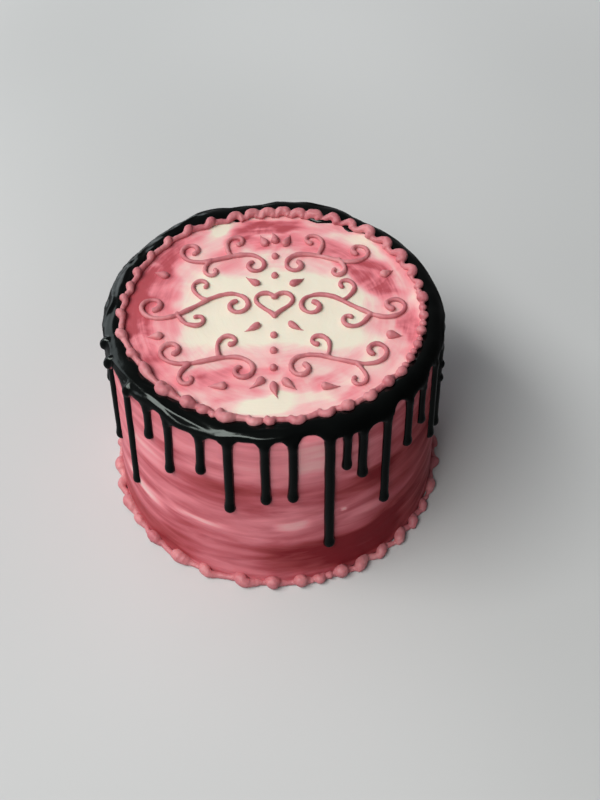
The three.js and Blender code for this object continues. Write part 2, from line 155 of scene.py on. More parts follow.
def displace(piece, name, size, depth, stretch=(1, 1, 1)):
    """Raises and sinks the surface by a soft cloud pattern, stretched along x, y and z"""
    clouds = bpy.data.textures.new(name, "CLOUDS")
    clouds.noise_scale = size
    bpy.ops.object.empty_add()
    guide = bpy.context.object
    guide.scale = stretch
    apply_modifier(
        piece, "DISPLACE", texture=clouds, texture_coords="OBJECT",
        texture_coords_object=guide, strength=depth, mid_level=0.5,
    )
    bpy.data.objects.remove(guide)


def angle_of(place):
    return math.degrees(math.atan2(place.x, -place.y))


def away(angle, middle):
    """The shortest turn from one angle to another, from -180 to 180"""
    return (angle - middle + 180) % 360 - 180


def point_at(radius, angle, height):
    turn = math.radians(angle)
    return Vector((radius * math.sin(turn), -radius * math.cos(turn), height))


def soft_shift(x, y, grain, layer, reach):
    """How far a place on the top is shifted by soft noise, which differs from layer to layer"""
    return reach * noise.noise_vector(Vector((x / grain, y / grain, layer)))


def smeared(across, along, half_width, half_length, strength):
    """What one smear leaves at a distance from its middle: soft at its sides and its ends"""
    return strength * math.exp(-((across / half_width) ** 6) - (along / half_length) ** 4)


def rose_on_top(x, y):
    """How much rose there is at a place on the top, with the smears' outlines drifting by hand"""
    drift = soft_shift(x, y, grain=22, layer=3.1, reach=6)
    flick = soft_shift(x, y, grain=7, layer=8.4, reach=2.4)
    x += drift.x + flick.x
    y += drift.y + flick.y
    rose = TOP_BASE
    for middle_x, middle_y, length, width, direction, strength in TOP_SMEARS:
        turn = math.radians(direction)
        along = (x - middle_x) * math.cos(turn) + (y - middle_y) * math.sin(turn)
        across = (y - middle_y) * math.cos(turn) - (x - middle_x) * math.sin(turn)
        rose += smeared(across, along, width, length, strength)
    return rose


def rose_and_painted_shade_on_side(angle, height):
    """The same on the side: a slow and a quick wave lift the smears, and fine streaks cross them;
    it also holds the painted shade on the right side
    """
    ring = point_at(1, angle, 0)
    height += 3 * noise.noise(ring * 2.2 + Vector((0, 0, 4.7)))
    height += 1.6 * noise.noise(ring * 7 + Vector((0, 0, height / 15)))
    rose = SIDE_BASE
    for middle, level, length, width, strength in SIDE_SMEARS_AND_PAINTED_SHADE:
        rose += smeared(height - level, away(angle, middle), width, length, strength)
    streak = noise.noise(ring * 5 + Vector((0, 0, height / 3.2)))
    return rose + 0.06 * streak


bpy.ops.mesh.primitive_cone_add(
    vertices=CAKE_COLUMNS, radius1=FOOT_RADIUS, radius2=TOP_RADIUS, depth=TOP_LEVEL,
    location=(0, 0, TOP_LEVEL / 2),
)
cake = bpy.context.object
cake.name = "frosted_cake"
bpy.ops.object.transform_apply(location=True, rotation=True, scale=True)

bpy.ops.object.mode_set(mode="EDIT")
bpy.ops.mesh.select_mode(type="EDGE")
bpy.ops.mesh.select_all(action="DESELECT")
bpy.ops.object.mode_set(mode="OBJECT")
for edge in cake.data.edges:
    low, high = sorted(cake.data.vertices[i].co.z for i in edge.vertices)
    edge.select = low > TOP_LEVEL - MM
bpy.ops.object.mode_set(mode="EDIT")
bpy.ops.mesh.bevel(offset=SHOULDER_RADIUS, segments=SHOULDER_ROWS, profile=0.5)
bpy.ops.mesh.select_all(action="DESELECT")
bpy.ops.object.mode_set(mode="OBJECT")
for edge in cake.data.edges:
    low, high = sorted(cake.data.vertices[i].co.z for i in edge.vertices)
    edge.select = high - low > TOP_LEVEL / 2
bpy.ops.object.mode_set(mode="EDIT")
bpy.ops.mesh.subdivide(number_cuts=SIDE_ROWS)
bpy.ops.mesh.select_all(action="DESELECT")
bpy.ops.mesh.select_mode(type="FACE")
bpy.ops.object.mode_set(mode="OBJECT")
for face in cake.data.polygons:
    face.select = len(face.vertices) > 4 and face.center.z > TOP_LEVEL / 2
bpy.ops.object.mode_set(mode="EDIT")
for ring in range(int((TOP_RADIUS - SHOULDER_RADIUS) / TOP_RING_STEP) - 1):
    bpy.ops.mesh.inset(thickness=TOP_RING_STEP)
bpy.ops.mesh.poke()
bpy.ops.object.mode_set(mode="OBJECT")

displace(cake, "uneven_coat", size=28 * MM, depth=0.7 * MM)
displace(cake, "scraper_streaks", size=3.6 * MM, depth=0.28 * MM, stretch=(12, 12, 1))
for vertex in cake.data.vertices:
    vertex.co.z = max(vertex.co.z, 0)
only(cake)
bpy.ops.object.shade_smooth()


def add_attributes(piece, **kinds):
    """Adds a value for each point under each name, and gives the lists of them in that order"""
    for name, kind in kinds.items():
        piece.data.attributes.new(name, kind, "POINT")
    return [piece.data.attributes[name].data for name in kinds]


rose, on_side, stroke_place = add_attributes(
    cake, rose="FLOAT", on_side="FLOAT", stroke_place="FLOAT_VECTOR"
)
for vertex in cake.data.vertices:
    place = vertex.co / MM
    angle = angle_of(place)
    radius = math.hypot(place.x, place.y)
    side = min(max((radius - BLEND_START) / BLEND_WIDTH, 0), 1)
    amount = 0
    if side < 1:
        amount += (1 - side) * rose_on_top(place.x, place.y)
    if side > 0:
        amount += side * rose_and_painted_shade_on_side(angle, place.z)
    rose[vertex.index].value = amount
    on_side[vertex.index].value = side
    from_middle = radius + (TOP_LEVEL / MM - place.z) * side
    stroke_place[vertex.index].vector = point_at(STROKE_RING, angle, from_middle) * MM


class Finish:
    """A material with its shader, and short ways to add and join nodes"""

    def __init__(self, name, **constants):
        self.material = bpy.data.materials.new(name)
        self.material.use_nodes = True
        self.nodes = self.material.node_tree.nodes
        self.links = self.material.node_tree.links
        self.shader = self.nodes["Principled BSDF"]
        self.place = self.nodes.new("ShaderNodeTexCoord").outputs["Object"]
        for socket, value in constants.items():
            self.shader.inputs[socket.replace("_", " ")].default_value = value

    def feed(self, socket, value):
        if isinstance(value, bpy.types.NodeSocket):
            self.links.new(value, socket)
        else:
            socket.default_value = value

    def combine(self, operation, *values):
        """Adds or multiplies values, or another operation of the math node"""
        node = self.nodes.new("ShaderNodeMath")
        node.operation = operation
        for socket, value in zip(node.inputs, values):
            self.feed(socket, value)
        return node.outputs[0]

    def attribute(self, name, output="Fac"):
        node = self.nodes.new("ShaderNodeAttribute")
        node.attribute_name = name
        return node.outputs[output]

    def noise(self, stretch, detail=3, roughness=0.55, distortion=0, place=None):
        """Soft noise whose grain is one unit divided by stretch, along x, y and z"""
        mapping = self.nodes.new("ShaderNodeMapping")
        mapping.inputs["Scale"].default_value = stretch
        self.links.new(place or self.place, mapping.inputs["Vector"])
        node = self.nodes.new("ShaderNodeTexNoise")
        node.inputs["Scale"].default_value = 1
        node.inputs["Detail"].default_value = detail
        node.inputs["Roughness"].default_value = roughness
        node.inputs["Distortion"].default_value = distortion
        self.links.new(mapping.outputs["Vector"], node.inputs["Vector"])
        return node.outputs[0]

    def colours(self, amount, *stops):
        """The colour that an amount from 0 to 1 has between stops of position and colour"""
        node = self.nodes.new("ShaderNodeValToRGB")
        node.color_ramp.interpolation = "EASE" if len(stops) == 2 else "LINEAR"
        elements = node.color_ramp.elements
        while len(elements) < len(stops):
            elements.new(0.5)
        for element, (position, colour) in zip(elements, stops):
            element.position = position
            element.color = colour
        self.feed(node.inputs["Fac"], amount)
        return node.outputs["Color"]

    def span(self, amount, low, high):
        """Spreads 0 to 1 over low to high"""
        node = self.nodes.new("ShaderNodeMapRange")
        node.inputs["To Min"].default_value = low
        node.inputs["To Max"].default_value = high
        self.feed(node.inputs["Value"], amount)
        return node.outputs["Result"]

    def bump(self, height, depth):
        node = self.nodes.new("ShaderNodeBump")
        node.inputs["Distance"].default_value = depth
        self.feed(node.inputs["Height"], height)
        self.links.new(node.outputs["Normal"], self.shader.inputs["Normal"])


# Light goes a little way into buttercream, and red light the furthest
BUTTERCREAM = {
    "Subsurface_Weight": 0.12, "Subsurface_Scale": 0.004, "Subsurface_Radius": (1.0, 0.35, 0.25),
}

# The smears on the top get no darker than this, with a soft limit
MOST_ROSE_ON_TOP = 0.77
SOFT_LIMIT = 0.18

frosting = Finish("marbled_frosting", Specular_IOR_Level=0.15, **BUTTERCREAM)

# The strokes run round the cake, on its top as well as on its side
strokes = frosting.attribute("stroke_place", "Vector")
wide_strokes = frosting.noise(
    (26, 26, 130), detail=5, roughness=0.5, distortion=0.7, place=strokes
)
fine_strokes = frosting.noise((40, 40, 620), detail=3, place=strokes)
patches = frosting.noise((42, 58, 40), detail=4, roughness=0.5, distortion=1.1)
side_share = frosting.attribute("on_side")
streaks = frosting.combine(
    "ADD", frosting.span(wide_strokes, -0.31, 0.31), frosting.span(fine_strokes, -0.03, 0.03)
)
stroke_marks = frosting.combine(
    "ADD", frosting.span(wide_strokes, -0.25, 0.75), frosting.span(fine_strokes, -0.1, 0.5)
)
wipes = frosting.combine("ADD", frosting.span(patches, -0.45, 1.55), stroke_marks)
on_the_side = frosting.combine("ADD", frosting.attribute("rose"), streaks)
on_the_top = frosting.combine(
    "SMOOTH_MIN", frosting.combine("MULTIPLY", frosting.attribute("rose"), wipes),
    MOST_ROSE_ON_TOP, SOFT_LIMIT,
)
rose_amount = frosting.combine(
    "ADD", frosting.combine("MULTIPLY", on_the_side, side_share),
    frosting.combine("MULTIPLY", on_the_top, frosting.combine("SUBTRACT", 1, side_share)),
)
frosting_colour = frosting.colours(
    rose_amount, (0.05, CREAM), (0.17, BLUSH), (0.29, PALE_PINK), (0.45, PINK),
    (0.59, DUSTY_PINK), (0.72, ROSE), (0.84, BRICK), (1, WINE),
)
frosting.feed(frosting.shader.inputs["Base Color"], frosting_colour)
frosting.feed(frosting.shader.inputs["Roughness"], frosting.span(wide_strokes, 0.36, 0.58))
frosting_grain = frosting.noise((260, 260, 260), detail=3)
frosting.bump(frosting.combine("ADD", fine_strokes, frosting_grain), 0.09 * MM)
cake.data.materials.append(frosting.material)
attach(cake, "root")
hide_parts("cake")

# The piped pattern on the top: lines of stiff rose buttercream laid from a small round nozzle.
# It has three rows of mirrored scrolls with tendrils, leaves drawn to a point, dots and a heart.
LINE_RADIUS = 1.13
END_SWELL = 0.3
LEAF_RADIUS = 2.05
LEAF_POINT = 0.3
LEAF_BEND = 18
DOT_RADIUS = 1.9
MOST_LIFT = 0.85
CURL_POWER = 2.4

# The right half of the pattern: x and y of a scroll's middle, or of a tendril's or leaf's start,
# its length, the curl of its ends in radians and its tilt in degrees. Leaves don't curl. The
# dots lie on the middle line, and the heart has the x and y of its middle and its width.
SCROLLS = [(26.5, 37, 84, 6.6, 10), (38.5, 3, 102, 7.2, -9), (31, -33, 92, 6.6, 12)]
TENDRILS = [
    (22, 38, 27, 5.6, 70), (31, 36, 21, -5.2, -55), (33, 6, 27, 5.4, 40),
    (47, -2, 27, -5.4, -120), (25, -31, 26, 5.6, 75), (39, -35, 23, -5.2, -50),
]
LEAVES = [
    (4, 46, 9, 50), (52, 24, 8, 10), (7, 18, 9, 20), (7, -9, 9, -50), (53, -17, 8, -20),
    (4.5, -45, 9, -60), (22, -49, 9, -20),
]
MIDDLE_LEAVES = [(0, 48, 9, 85), (0, -47, 10, -95)]
DOTS_AT = [38, 24, -17, -27, -38]
HEART = (0, 5, 18)


def mix(a, b, share):
    return a + (b - a) * share


def ramp(low, high, x):
    """Rises smoothly from 0 to 1 while x goes from low to high"""
    share = min(max((x - low) / (high - low), 0), 1)
    return share * share * (3 - 2 * share)


def rounded(reach, least):
    """The width of a round end, 1 where it is full, by how far in it is, but a least width"""
    return math.sqrt(max(1 - (1 - min(reach, 1)) ** 2, least))


def ball(steps=8):
    """Places across a ball from 1 to -1, each with the share of its radius it has there"""
    for i in range(steps + 1):
        across = math.cos(math.pi * i / steps)
        yield across, math.sqrt(max(1 - across * across, 0.02))


def draws(seed):
    """The same seeded draws from 0 to 1 that placed the solids' pieces"""
    state = seed
    while True:
        state = (state * 1664525 + 1013904223) % 2 ** 32
        yield state / 2 ** 32


def tubes(name, lines):
    """Round beads laid along lines of places and radii, both in mm, as one mesh"""
    curve = bpy.data.curves.new(name, "CURVE")
    curve.dimensions = "3D"
    curve.bevel_depth = MM
    curve.bevel_resolution = 5
    curve.use_fill_caps = True
    for line in lines:
        spline = curve.splines.new("POLY")
        spline.points.add(len(line) - 1)
        for point, (place, radius) in zip(spline.points, line):
            point.co = (*(place * MM), 1)
            point.radius = radius
    piece = bpy.data.objects.new(name, curve)
    bpy.context.collection.objects.link(piece)
    only(piece)
    bpy.ops.object.convert(target="MESH")
    return bpy.context.object


def fused(piece, grain, rounds):
    """Joins the beads of a piece into one skin and eases the creases between them"""
    apply_modifier(piece, "REMESH", mode="VOXEL", voxel_size=grain, use_smooth_shade=True)
    apply_modifier(piece, "SMOOTH", factor=0.5, iterations=rounds)
    only(piece)
    bpy.ops.object.shade_smooth()


def curl_path(length, curl, steps=60):
    """A line that starts straight and winds up towards its end"""
    place = Vector((0, 0))
    path = [place.copy()]
    for i in range(steps):
        turn = curl * ((i + 0.5) / steps) ** CURL_POWER
        place += length / steps * Vector((math.cos(turn), math.sin(turn)))
        path.append(place.copy())
    return path


def turned(path, x, y, degrees):
    turn = math.radians(degrees)
    cosine, sine = math.cos(turn), math.sin(turn)
    return [
        Vector((x + p.x * cosine - p.y * sine, y + p.x * sine + p.y * cosine)) for p in path
    ]


def scroll_path(x, y, length, curl, tilt):
    """A line that winds up at both ends, like a lying S"""
    half = curl_path(length / 2, curl)
    lean = math.degrees(math.atan2(half[-1].y, half[-1].x))
    return turned([-p for p in reversed(half[1:])] + half, x, y, tilt - lean)


def tendril_path(x, y, length, curl, tilt):
    return turned(curl_path(length, curl, 40), x, y, tilt)


def leaf_path(x, y, length, tilt):
    path = []
    for i in range(13):
        bend = math.radians(LEAF_BEND * i / 12)
        path.append(length * i / 12 * Vector((math.cos(bend), math.sin(bend))))
    return turned(path, x, y, tilt)


def heart_path(x, y, width):
    """The usual heart curve, 32 wide before it is scaled, piped round with its ends just apart"""
    path = []
    for i in range(61):
        t = 2 * math.pi * (i + 0.9) / 61.8
        up = 13 * math.cos(t) - 5 * math.cos(2 * t) - 2 * math.cos(3 * t) - math.cos(4 * t)
        path.append(Vector((x + 16 * math.sin(t) ** 3 * width / 32, y + up * width / 32)))
    return path


def line_radius(t, length):
    """A blob at each end, where the bag starts and stops, with rounded ends"""
    from_end = min(t, 1 - t)
    radius = LINE_RADIUS * (1 + END_SWELL * (1 - ramp(0, 0.12, from_end)))
    return radius * rounded(from_end * length / radius, 0.04)


def leaf_radius(t, length):
    """Full and round where the bag starts, then drawn out to a point"""
    start = rounded(t * length / LEAF_RADIUS, 0.04)
    return start * mix(LEAF_RADIUS, LEAF_POINT, ramp(0.2, 1, t))


def laid(path, size):
    """Lays a bead of frosting on the top along a path, a little shaky as by hand"""
    length = sum((b - a).length for a, b in zip(path, path[1:]))
    line = []
    for i, point in enumerate(path):
        shake = soft_shift(point.x, point.y, grain=9, layer=1.7, reach=0.35)
        push = 1 + 0.3 * noise.noise(Vector((point.x / 5, point.y / 5, 6.2)))
        radius = size(i / (len(path) - 1), length) * push
        height = TOP_LEVEL / MM + min(0.7 * radius, MOST_LIFT)
        line.append((Vector((point.x + shake.x, point.y + shake.y, height)), radius))
    return line


def by_hand(line, hand):
    """Shifts, stretches and turns a line of the pattern by small draws"""
    off = [2 * next(hand) - 1 for _ in range(4)]
    x, y, length, *curl, tilt = line
    length *= 1 + 0.03 * off[2]
    return (x + 0.6 * off[0], y + 0.6 * off[1], length, *curl, tilt + 3 * off[3])


hand = draws(21)
pattern = [laid(heart_path(*HEART), line_radius)]
for mirror in (1, -1):
    for lines, path_of, size in (
        (SCROLLS, scroll_path, line_radius),
        (TENDRILS, tendril_path, line_radius),
        (LEAVES, leaf_path, leaf_radius),
    ):
        for line in lines:
            path = path_of(*by_hand(line, hand))
            pattern.append(laid([Vector((mirror * p.x, p.y)) for p in path], size))
for line in MIDDLE_LEAVES:
    pattern.append(laid(leaf_path(*by_hand(line, hand)), leaf_radius))
dot_level = TOP_LEVEL / MM + MOST_LIFT
for y in DOTS_AT:
    pattern.append([
        (Vector((0, y, dot_level + DOT_RADIUS * across)), DOT_RADIUS * share)
        for across, share in ball()
    ])

scrolls = tubes("piped_scrolls", pattern)
fused(scrolls, grain=0.36 * MM, rounds=3)
displace(scrolls, "handmade_lines", size=2 * MM, depth=0.3 * MM)

DEEP_DUSTY_ROSE = (0.47, 0.13, 0.155, 1)
DUSTY_ROSE = (0.56, 0.19, 0.21, 1)
LIGHT_DUSTY_ROSE = (0.66, 0.28, 0.29, 1)
piping = Finish("piped_frosting", **BUTTERCREAM)
piping_tone = piping.noise((55, 55, 55), detail=3)
piping_grain = piping.noise((420, 420, 420), detail=3)
piping_colour = piping.colours(
    piping_tone, (0.3, DEEP_DUSTY_ROSE), (0.52, DUSTY_ROSE), (0.74, LIGHT_DUSTY_ROSE)
)
piping.feed(piping.shader.inputs["Base Color"], piping_colour)
piping.feed(piping.shader.inputs["Roughness"], piping.span(piping_grain, 0.4, 0.6))
piping.bump(piping_grain, 0.2 * MM)
scrolls.data.materials.append(piping.material)
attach(scrolls, "root")
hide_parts("cake")

# The glaze: a black pouring glaze, spooned round the rim while it is just warm. It lies as a
# collar over the shoulder and runs down the side in drips, each with a rounded, fuller tip.
GLAZE_THICKNESS = 1.9
THINNEST_GLAZE = 0.7
POOL_DEPTH = 0.55
WRINKLE_DEPTH = 0.25
WRINKLE_PITCH = 3.2
GLAZE_INNER_RADIUS = 72.3
SUNK = 0.9
INNER_EDGE_ROUNDING = 5
LIP_ROUNDING = 1.5
LIP_HANG = 9
LIP_WAVE = 0.9
FUNNEL_DEPTH = 3.4
FUNNEL_SHARE = 0.74
SKIN_RADIUS = 82
DRIP_STEPS = 40
DRIP_SWAY = 0.35
BULB_SWELL = 0.33

# The collar starts as a torus, and this share of its section becomes the outer face
TORUS_RADIUS = 80
TORUS_COLUMNS = 720
TORUS_ROWS = 40
OUTER_SHARE = 0.75

# How far down the skin the lip hangs between the front drips, by angle
LIP_MARKS = [
    (-80, 9), (-66, 8.4), (-52, 7.4), (-42, 5.4), (-30, 7), (-20, 6.9), (-9, 5.2), (2, 4.6),
    (11, 3.6), (21.5, 4.8), (27.5, 5.8), (36, 8), (46, 5.3), (56, 8.4), (65, 6.6), (80, 9),
]

# Humps round the cake, each with its middle and spread in degrees: where the collar slumped
# thinner, or less than 0 where thicker, where its inner edge reaches further in, and how rippled
# it is
SLUMPS = [
    (-138, 28, 0.4), (138, 28, 0.4), (124, 20, 0.9), (148, 5, 0.9), (-168, 7, 1.9),
    (157, 4, -0.5), (-153, 7, -1.1),
]
INNER_REACHES = [
    (165, 18, 1.8), (-165, 14, 1.8), (8, 42, 2.0), (147, 3.5, 3.6), (162, 6, 3.4),
    (-163.5, 4, 3.4),
]
RIPPLES = [(-34, 44, 0.75), (-115, 40, 0.4)]
LEAST_RIPPLES = 0.25

# The drips seen from the front: angle where they start, height of the tip, width of the stem and
# how far the tip leans to the right
FRONT_DRIPS = [
    (-73.5, 48, 5.3, 3.6), (-57.3, 34.5, 4.9, 0.6), (-45.5, 84, 5.1, 0), (-36.1, 68.7, 5.0, -1.1),
    (-24, 79, 5.1, -0.5), (-14.5, 55.7, 5.5, -0.3), (-2.5, 65, 5.3, 0), (6.5, 66, 5.2, 0),
    (18.7, 25, 6.0, 0), (24.5, 82, 4.8, 0), (30.5, 71.5, 5.5, 0), (40.2, 42, 5.5, 0),
    (50.8, 72, 5.1, 0), (59, 77, 4.8, 0), (69.5, 50, 5.1, 0),
]

# The drips of the back follow on from the last front one, and every third is a long one
BACK_DRIP_PITCH = 10.7
BACK_DRIPS_END = 289
SHORTEST_TIP = 84
TIP_SPREAD = 22
LONG_DRIP_MORE = 34


def hump(angle, middle, spread):
    return math.exp(-((away(angle, middle) / spread) ** 2))


def humps(angle, table):
    return sum(height * hump(angle, middle, spread) for middle, spread, height in table)


def unevenness(angle, shift):
    """An uneven line round the cake, between about -1 and 1"""
    a = math.radians(angle)
    slow = math.sin(3 * a + shift) + 0.7 * math.sin(7 * a + 2.3 * shift)
    return (slow + 0.5 * math.sin(13 * a + 4.1 * shift)) / 2.2


def skin_place(down, lift):
    """Radius and height of a place on the cake's skin, by the way down from where the flat top
    meets the shoulder, lifted off the skin"""
    shoulder = SHOULDER_RADIUS / MM
    bend = min(max(down / shoulder, 0), math.pi / 2)
    below = max(down - shoulder * math.pi / 2, 0)
    height = TOP_LEVEL / MM - shoulder + (shoulder + lift) * math.cos(bend) - below
    slope = (FOOT_RADIUS - TOP_RADIUS) / MM * (1 - height * MM / TOP_LEVEL)
    radius = TOP_RADIUS / MM - shoulder + min(down, 0) + (shoulder + lift) * math.sin(bend)
    return radius + slope * math.sin(bend), height


def down_at(place):
    """The way down the skin to a place on it, as skin_place counts it"""
    shoulder = SHOULDER_RADIUS / MM
    out = math.hypot(place.x, place.y) - TOP_RADIUS / MM + shoulder
    up = place.z - TOP_LEVEL / MM + shoulder
    bend = min(max(math.atan2(out, up), 0), math.pi / 2)
    return shoulder * bend + min(out, 0) + max(-up, 0)


def lip_down(angle):
    """How far down the skin the lip hangs: less at the front than at the sides and the back"""
    hang = LIP_HANG
    for (first, level), (second, next_level) in zip(LIP_MARKS, LIP_MARKS[1:]):
        if first <= angle < second:
            hang = mix(level, next_level, ramp(first, second, angle))
    return hang + LIP_WAVE * unevenness(angle, 1.7) * ramp(60, 85, abs(angle))


def back_drips():
    draw = draws(11)
    first = FRONT_DRIPS[-1][0]
    count = round((BACK_DRIPS_END - first) / BACK_DRIP_PITCH) - 1
    drips = []
    for i in range(1, count + 1):
        angle = mix(first, BACK_DRIPS_END, (i + 0.4 * (next(draw) - 0.5)) / (count + 1))
        longer = LONG_DRIP_MORE if i % 3 == 1 else 0
        tip = SHORTEST_TIP - longer - TIP_SPREAD * next(draw)
        drips.append((angle, tip, mix(5, 6.2, next(draw)), 0))
    return drips


DRIPS = FRONT_DRIPS + back_drips()


def lip_with_funnels(angle):
    """The lip's lower edge, drawn down into a funnel over each drip"""
    down = lip_down(angle)
    for middle, _, width, _ in DRIPS:
        off = abs(away(angle, middle)) * math.radians(1) * SKIN_RADIUS
        down += FUNNEL_DEPTH * math.exp(-((off / (FUNNEL_SHARE * width)) ** 4))
    return down


def glaze_thickness(angle, down):
    """Thin where it slumped at the back, pooled unevenly as poured, calmer at the front left, and
    drawn into long wrinkles at the left"""
    waves = 1 + 0.12 * unevenness(angle, 0.4)
    turn = math.radians(angle)
    pooled = noise.noise(Vector((7 * math.sin(turn), 7 * math.cos(turn), down / 7)))
    drift = 1.3 * noise.noise(Vector((angle / 16, 3.3, 0)))
    wrinkle = math.sin(math.tau * (down / WRINKLE_PITCH + angle / 40 + drift))
    wrinkles = WRINKLE_DEPTH * hump(angle, -105, 30) * wrinkle
    calm = 1 - 0.6 * hump(angle, -30, 34)
    thickness = GLAZE_THICKNESS * waves - humps(angle, SLUMPS)
    return max(thickness + POOL_DEPTH * calm * pooled + wrinkles, THINNEST_GLAZE)


def glaze_inner_edge(angle):
    """The glaze's thin inner edge, hidden under the middle of the bead border, on the flat top"""
    wander = 0.4 * unevenness(angle, 2.9) - humps(angle, INNER_REACHES)
    return GLAZE_INNER_RADIUS - (TOP_RADIUS - SHOULDER_RADIUS) / MM + wander


bpy.ops.mesh.primitive_torus_add(
    major_segments=TORUS_COLUMNS, minor_segments=TORUS_ROWS, major_radius=TORUS_RADIUS * MM,
    minor_radius=2 * MM,
)
glaze = bpy.context.object
glaze.name = "black_glaze"
lips = {}
inner_edges = {}
for vertex in glaze.data.vertices:
    place = vertex.co / MM
    angle = angle_of(place)
    column = round(angle * TORUS_COLUMNS / 360)
    if column not in lips:
        lips[column] = lip_with_funnels(angle)
        inner_edges[column] = glaze_inner_edge(angle)
    out = math.hypot(place.x, place.y) - TORUS_RADIUS
    section = (math.atan2(place.z, out) / math.tau) % 1
    if section < OUTER_SHARE:
        along = 1 - section / OUTER_SHARE
        down = mix(inner_edges[column], lips[column], along)
        from_start = (down - inner_edges[column]) / INNER_EDGE_ROUNDING
        from_lip = (lips[column] - down) / LIP_ROUNDING
        lift = glaze_thickness(angle, down) * rounded(min(from_start, from_lip), 0)
    else:
        along = (section - OUTER_SHARE) / (1 - OUTER_SHARE)
        down = mix(inner_edges[column], lips[column], along)
        lift = -SUNK
    radius, height = skin_place(down, lift)
    vertex.co = point_at(radius, angle, height) * MM


def drip_radius(width, from_start, from_tip):
    """A stem that widens where it leaves the lip, and a fuller bulb with a round tip"""
    bulb = 0.5 * width + BULB_SWELL * math.exp(-((from_tip - 3) / 3.5) ** 2)
    stem = 0.47 * width + 0.4 * math.exp(-((from_start - 2) / 3.2) ** 2)
    radius = mix(bulb, stem, ramp(4, 10, from_tip))
    return radius * rounded(from_tip / radius, 0.01)


def drip_lift(width, from_start, from_tip):
    """How far the middle of a drip lies off the skin: sunk in the collar at its start, and so that
    the drip stands out about 2.3 mm along its stem and 2.6 mm or more at its tip"""
    lift = mix(2.6 - 0.5 * width, 2.3 - 0.47 * width, min(from_tip / 6, 1))
    return lift - 1.5 * (1 - ramp(-2, 3, from_start))


runs = []
for angle, tip, width, lean in DRIPS:
    start = lip_down(angle)
    end = start + skin_place(start, 0)[1] - tip
    line = []
    for i in range(DRIP_STEPS + 1):
        down = mix(start - 2, end, i / DRIP_STEPS)
        radius = drip_radius(width, down - start, end - down)
        reach, height = skin_place(down, drip_lift(width, down - start, end - down))
        sway = DRIP_SWAY * noise.noise(Vector((angle, down / 14, 2.2)))
        aside = lean * ramp(start, end, down) + sway
        line.append((point_at(reach, angle + math.degrees(aside / reach), height), radius))
    runs.append(line)

# Strands of glaze that ran over each other, half sunk in it: first and last angle, how far above
# the lip each starts and ends, its radius, how far it stands out and its wave
STRANDS = [
    (-64, -14, 1.8, 1.5, 2.8, 0.8, 0.3), (-60, -18, 4.2, 3.5, 2.8, 0.6, 0.5),
    (-52, -30, 6.4, 5.4, 2.6, 0.4, 0.3), (-70, -46, 3.2, 6.0, 2.2, 0.7, 0.5),
    (-24, 14, 1.7, 1.5, 2.6, 0.75, 0.3), (-20, 8, 3.9, 3.3, 2.6, 0.55, 0.4),
    (-128, -84, 3.6, 2.2, 1.9, 0.9, 1.1), (-172, -120, 5.2, 6, 1.8, 0.8, 0.9),
    (-112, -66, 6.6, 3, 1.6, 0.8, 1.2), (-150, -100, 7.6, 5, 1.7, 0.8, 0.8),
    (72, 108, 2.2, 4, 1.6, 0.7, 0.9), (104, 150, 5.0, 3, 1.6, 0.8, 1.0),
    (146, 184, 3.4, 5, 1.8, 0.8, 1.1),
]
STRAND_WAVES = 19
for number, (first, last, above_first, above_last, thick, proud, wave) in enumerate(STRANDS):
    line = []
    steps = int(abs(last - first))
    for i in range(steps + 1):
        angle = mix(first, last, i / steps)
        ends = math.sin(math.pi * min(max(i / steps, 0.02), 0.98)) ** 0.5
        weave = wave * math.sin(math.radians(angle) * STRAND_WAVES + 2.1 * number)
        down = lip_down(angle) - mix(above_first, above_last, i / steps) + weave
        radius = thick * ends * (1 + 0.2 * noise.noise(Vector((angle / 5, number, 0.5))))
        lift = glaze_thickness(angle, down) + proud * ends - radius
        reach, height = skin_place(down, lift)
        line.append((point_at(reach, angle, height), radius))
    runs.append(line)

# Knobs where the spoon dropped too much, drawn out downwards with their ends sunk in: angle, place
# down the skin, radius and lift off the skin
KNOBS = [
    (-77, 6.3, 2.1, 2.6), (-69.2, 7.8, 2.4, 2.7), (-54.8, 7.2, 2.6, 1.8), (78.9, 23.6, 2.1, 1.4),
    (78.9, 33.4, 2.0, 1.4),
]
KNOB_STRETCH = 1.5
for angle, down, size, lift in KNOBS:
    line = []
    for across, share in ball():
        reach, height = skin_place(
            down + KNOB_STRETCH * size * across, lift * (1 - 0.7 * across * across)
        )
        line.append((point_at(reach, angle, height), size * share))
    runs.append(line)

glaze_runs = tubes("glaze_runs", runs)
only(glaze)
glaze_runs.select_set(True)
bpy.ops.object.join()
glaze = bpy.context.object
fused(glaze, grain=0.75 * MM, rounds=2)

# Fine ripples where the glaze set while it still crept: they run along the lip, mostly at the
# front left and the left, and fade out on the drips
flow_place, rippled = add_attributes(glaze, flow_place="FLOAT_VECTOR", rippled="FLOAT")
for vertex in glaze.data.vertices:
    place = vertex.co / MM
    angle = angle_of(place)
    below_lip = down_at(place) - lip_down(angle)
    flow_place[vertex.index].vector = point_at(STROKE_RING, angle, below_lip) * MM
    on_lip = 1 - ramp(0, 3, below_lip)
    rippled[vertex.index].value = on_lip * (LEAST_RIPPLES + humps(angle, RIPPLES))

